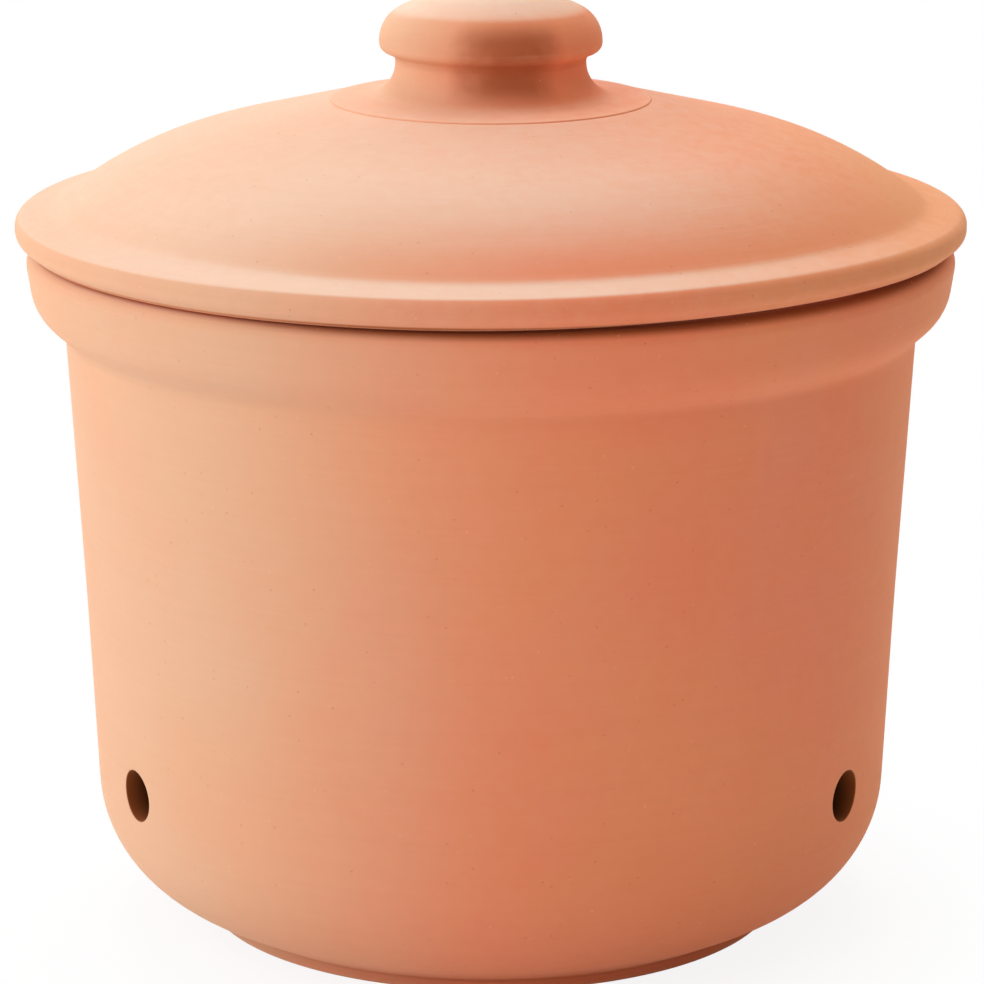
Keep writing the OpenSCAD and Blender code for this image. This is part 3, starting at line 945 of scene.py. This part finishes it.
def fired_clay(clay):
    """Matt terracotta: a soft flush and bloom, rubbed edges, specks and turning lines, with painted light
    and shade: a paler lit side, a yellower right edge, highlights on the faces that look up, and shade in
    the creases, the vents, under the lid's edge, on the knob's front and low on the right.
    """
    material = bpy.data.materials.new("fired_clay")
    material.use_nodes = True
    recipe = Recipe(material.node_tree)
    place = recipe.add("ShaderNodeTexCoord")["Object"]
    bulge, arc, sunk = (
        recipe.add("ShaderNodeAttribute", {"attribute_name": name})["Fac"] for name in SKIN)
    axes = recipe.add("ShaderNodeSeparateXYZ", None, {0: place})
    level = recipe.add("ShaderNodeCombineXYZ", None, {"X": axes["X"], "Y": axes["Y"]})
    around = recipe.add("ShaderNodeVectorMath", {"operation": "NORMALIZE"}, {0: level})
    heading = recipe.add("ShaderNodeSeparateXYZ", None, {0: around})
    patterns = clay_patterns(recipe, place, heading, arc)
    cloud, grain, turning = patterns["cloud"], patterns["grain"], patterns["turning"]

    # Painted light and shade: the clay is paler on the lit left and deeper rose on the shaded right, and a
    # painted yellower light lies on the lid's right and along the wall's far right edge
    spread = 1 + KNOB_SIDE_SPEED * fade(recipe, "on_knob", axes["Z"])
    side = axes["X"] * spread + (patterns["drift"] - MIDDLE) * DRIFT_REACH
    kiln = fade(recipe, "kiln", side)
    # Painted light: a yellower tint on the lid's right and along the wall's far right edge, where the
    # outline catches the light
    right_light_tint = fade(recipe, "toast_right", axes["X"]) * fade(recipe, "toast_lid", axes["Z"])
    right_light_tint = right_light_tint * STRENGTHS["toast_lid"]
    right_light_tint = right_light_tint + fade(recipe, "toast_edge", axes["X"]) * STRENGTHS["toast_edge"]
    flush = fade(recipe, "flush", patterns["flush"])
    bloom = fade(recipe, "bloom", patterns["bloom"])
    # Painted shade: darker low on the right of the wall
    singed = fade(recipe, "singed_side", side) * fade(recipe, "singed_base", axes["Z"])

    # Wear, specks, and painted shade: in the creases, in the slot under the lid's edge and on the knob's
    # front
    rubbed = fade(recipe, "rubbed", bulge + (cloud - MIDDLE) * UNEVEN_EDGE)
    # Painted shade: darker clay in the creases, on the shaded side only
    crease = fade(recipe, "crease", (cloud - MIDDLE) * UNEVEN_CREASE - bulge)
    crease = crease * fade(recipe, "crease_side", side)
    grog, lime = clay_specks(recipe, place)
    seam, soot = seam_shading(recipe, axes, level, lies_toward(heading, clay.seam_shade_side))
    scorch = painted_knob_shade(recipe, axes, lies_toward(heading, clay.knob_front_shade_side), bloom)

    # Colours in the order in which they lie on the clay
    layers = (
        # Painted light and shade: the deeper rose over the paler clay towards the shaded right, with flush
        # and bloom stronger there
        ("shaded_side_clay", kiln),
        ("warm", flush * (STRENGTHS["flush"] + STRENGTHS["flush_hot"] * kiln)),
        ("pink", bloom * (STRENGTHS["bloom"] + STRENGTHS["bloom_hot"] * kiln)),
        # Painted light: the yellower tint on the right
        ("warm", right_light_tint),
        ("pale", (cloud - CLOUD_LEVEL) * STRENGTHS["cloud"]),
        # Painted highlight on the faces that look up
        ("top_highlight", painted_top_highlight(recipe, axes, side, cloud)),
        # Painted shade on the knob's front
        ("scorch", scorch * STRENGTHS["scorch"]),
        # Painted shade in the slot under the lid's edge, darker at the front
        ("grime", seam * STRENGTHS["grime"]),
        ("soot", soot * STRENGTHS["soot"]),
        ("deep", (TURNING_LEVEL - turning) * STRENGTHS["turning"]),
        ("pale", rubbed * STRENGTHS["rubbed"]),
        # Painted shade in the creases
        ("deep", crease * STRENGTHS["crease"]),
        # Painted shade low on the right
        ("deep", singed * STRENGTHS["singed"]),
        ("grog", grog * STRENGTHS["grog"]),
        ("lime", lime * STRENGTHS["lime"]),
        # Painted shade inside the vents
        ("vent", fade(recipe, "vent", sunk)),
        ("vent_end", fade(recipe, "vent_end", sunk)),
    )
    shade = tuple(clay.lit_side_clay)
    for name, mask in layers:
        shade = recipe.tint(shade, tuple(getattr(clay, name)), mask)

    relief = grain * HEIGHTS["grain"] + cloud * HEIGHTS["cloud"] + turning * HEIGHTS["turning"]
    bump = recipe.add("ShaderNodeBump", None, {
        "Height": relief - grog * GROG_PIT, "Strength": clay.relief, "Distance": clay.relief_depth})
    dull = clay.roughness + (grain - MIDDLE) * STRENGTHS["grain_rough"]
    skin = recipe.add("ShaderNodeBsdfPrincipled", None, {
        "Base Color": shade, "Roughness": dull, "Normal": bump, "Diffuse Roughness": clay.powder,
        "Specular IOR Level": clay.specular, "Sheen Weight": clay.sheen,
        "Sheen Roughness": clay.sheen_spread, "Sheen Tint": (*clay.sheen_tint, 1)})
    recipe.add("ShaderNodeOutputMaterial", None, {"Surface": skin})
    return material


def clay_material(settings):
    """The clay of the three pieces, made once."""
    return bpy.data.materials.get("fired_clay") or fired_clay(settings.clay)


def seat_piece(shell, settings, name, body):
    """Makes a finished piece that stands for the node of its name and moves with a body."""
    piece = shell.to_object(name + "_turned", clay_material(settings))
    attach(piece, body)
    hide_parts(name)
    return piece


def seen_by_eye(recipe):
    """1 for rays that the eye, a gloss or a clear body sends, and 0 for those that carry light."""
    path = recipe.add("ShaderNodeLightPath")
    seen = path["Is Camera Ray"]
    for other in ("Is Glossy Ray", "Is Transmission Ray"):
        seen = recipe.add("ShaderNodeMath", {"operation": "MAXIMUM"}, {0: seen, 1: path[other]})
    return seen


def lay_floor(stage):
    """A round white floor: points at (r cos a, r sin a, -drop), as one face.

    Its shadow is strongest by the object and fades out with the distance from the axis.
    """
    around = np.linspace(0, 2 * math.pi, FLOOR_SIDES, endpoint=False)
    reach = stage.floor_radius
    drop = np.full(len(around), -stage.floor_drop)
    rim = np.stack([reach * np.cos(around), reach * np.sin(around), drop], axis=-1)
    mesh = bpy.data.meshes.new("floor")
    mesh.from_pydata(rim.tolist(), [], [list(range(len(rim)))])
    material = bpy.data.materials.new("white_floor")
    material.use_nodes = True
    recipe = Recipe(material.node_tree)
    place = recipe.add("ShaderNodeTexCoord")["Object"]
    away = recipe.add("ShaderNodeVectorMath", {"operation": "LENGTH"}, {0: place})["Value"]
    faded = recipe.smooth(away, stage.shadow_near, stage.shadow_far)
    white = stage.floor_white + (1 - stage.floor_white) * faded
    lit = recipe.add("ShaderNodeBsdfDiffuse", None, {"Color": (*[stage.floor_grey] * 3, 1)})
    bare = recipe.add("ShaderNodeEmission", None, {"Color": (1, 1, 1, 1), "Strength": 1})
    mixed = recipe.add("ShaderNodeMixShader", None, {0: seen_by_eye(recipe) * white, 1: lit, 2: bare})
    recipe.add("ShaderNodeOutputMaterial", None, {"Surface": mixed})
    mesh.materials.append(material)
    floor = bpy.data.objects.new("floor", mesh)
    bpy.context.scene.collection.objects.link(floor)


def light_surround(stage):
    """An even warm surround, white to the eye."""
    world = bpy.data.worlds.new("surround")
    bpy.context.scene.world = world
    world.use_nodes = True
    recipe = Recipe(world.node_tree)
    seen = seen_by_eye(recipe)
    strength = stage.ambient + (1 - stage.ambient) * seen
    shade = recipe.tint(tuple(stage.warm), (1, 1, 1), seen)
    sky = recipe.add("ShaderNodeBackground", None, {"Color": shade, "Strength": strength})
    recipe.add("ShaderNodeOutputWorld", None, {"Surface": sky})


# Lamps: way round from the camera's side to the right, height as an angle, distance, size, colour
LAMPS = {
    "left_lamp": (-85, 25, 1.3, 1.1, "cool"),
    "back_lamp": (-170, 37, 1.4, 0.9, "cool"),
    "top_lamp": (180, 75, 1.4, 0.9, "cool"),
    "front_lamp": (-30, 35, 1.5, 0.8, "warm"),
    "right_lamp": (135, 25, 1.4, 0.8, "warm"),
}


def hang_lamps(stage):
    """Square soft lamps that face the middle of the object."""
    middle = Vector((0, 0, (CAD_BOX[0][2] + CAD_BOX[1][2]) / 2))
    for name, (side, tilt, away, size, tone) in LAMPS.items():
        side, tilt = math.radians(side), math.radians(tilt)
        toward = Vector((
            math.sin(side) * math.cos(tilt), -math.cos(side) * math.cos(tilt), math.sin(tilt)))
        data = bpy.data.lights.new(name, "AREA")
        data.shape = "SQUARE"
        data.size = size
        data.energy = getattr(stage, name)
        data.color = getattr(stage, tone)
        lamp = bpy.data.objects.new(name, data)
        lamp.location = middle + toward * away
        lamp.rotation_euler = toward.to_track_quat("Z", "Y").to_euler()
        lamp.visible_camera = False
        bpy.context.scene.collection.objects.link(lamp)


def stand_camera(stage):
    """A camera that looks slightly down at the object from its front."""
    data = bpy.data.cameras.new("camera")
    data.sensor_width = SENSOR_WIDTH
    data.lens = stage.lens
    camera = bpy.data.objects.new("camera", data)
    camera.location = (0, -stage.distance, stage.eye)
    away = camera.location - Vector((stage.aim_side, 0, stage.aim))
    camera.rotation_euler = away.to_track_quat("Z", "Y").to_euler()
    bpy.context.scene.collection.objects.link(camera)
    bpy.context.scene.camera = camera


class KEEPER_OT_pot(bpy.types.Operator):
    """Turn the pot with its foot, collar and vents"""

    bl_idname = "keeper.pot"
    bl_label = "Turn Pot"

    def execute(self, context):
        settings = context.scene.keeper
        seat_piece(turned_pot(settings), settings, "pot", "pot")
        return {"FINISHED"}


class KEEPER_OT_lid(bpy.types.Operator):
    """Turn the lid with its spigot, flange and dome"""

    bl_idname = "keeper.lid"
    bl_label = "Turn Lid"

    def execute(self, context):
        settings = context.scene.keeper
        seat_piece(turned_lid(settings), settings, "lid", "lid")
        return {"FINISHED"}


class KEEPER_OT_knob(bpy.types.Operator):
    """Turn the knob that is luted to the lid"""

    bl_idname = "keeper.knob"
    bl_label = "Turn Knob"

    def execute(self, context):
        settings = context.scene.keeper
        seat_piece(turned_knob(settings), settings, "knob", "lid")
        return {"FINISHED"}


class KEEPER_OT_stage(bpy.types.Operator):
    """Set up the camera, lamps, floor and surround"""

    bl_idname = "keeper.stage"
    bl_label = "Set Stage"

    def execute(self, context):
        stage = context.scene.keeper.stage
        context.scene.view_settings.view_transform = "Standard"
        stand_camera(stage)
        hang_lamps(stage)
        lay_floor(stage)
        light_surround(stage)
        return {"FINISHED"}


class KEEPER_PT_panel(bpy.types.Panel):
    """Panel with the steps and settings of the potato keeper"""

    bl_idname = "KEEPER_PT_panel"
    bl_label = "Potato Keeper"
    bl_space_type = "VIEW_3D"
    bl_region_type = "UI"
    bl_category = "Potato Keeper"

    def draw(self, context):
        settings = context.scene.keeper
        for step in STEPS:
            self.layout.operator(step.bl_idname)
        for name in ("pot", "vents", "lid", "knob", "clay", "stage"):
            group = getattr(settings, name)
            box = self.layout.box()
            box.label(text=name.title())
            for key in group.__annotations__:
                box.prop(group, key)
        self.layout.prop(settings, "step")
        self.layout.prop(settings, "columns")


GROUPS = (PotSizes, VentSizes, LidSizes, KnobSizes, ClayFinish, StageSettings, KeeperSettings)
STEPS = (KEEPER_OT_stage, KEEPER_OT_pot, KEEPER_OT_lid, KEEPER_OT_knob)
CLASSES = (*GROUPS, *STEPS, KEEPER_PT_panel)


def register():
    """Registers the classes and hangs the settings on the scene."""
    for cls in CLASSES:
        bpy.utils.register_class(cls)
    bpy.types.Scene.keeper = bpy.props.PointerProperty(type=KeeperSettings)


def unregister():
    """Takes the settings and classes away again."""
    del bpy.types.Scene.keeper
    for cls in reversed(CLASSES):
        bpy.utils.unregister_class(cls)


def main():
    """Builds the pieces and the stage."""
    register()
    bpy.ops.keeper.stage()
    bpy.ops.keeper.pot()
    bpy.ops.keeper.lid()
    bpy.ops.keeper.knob()


if __name__ == "__main__":
    main()
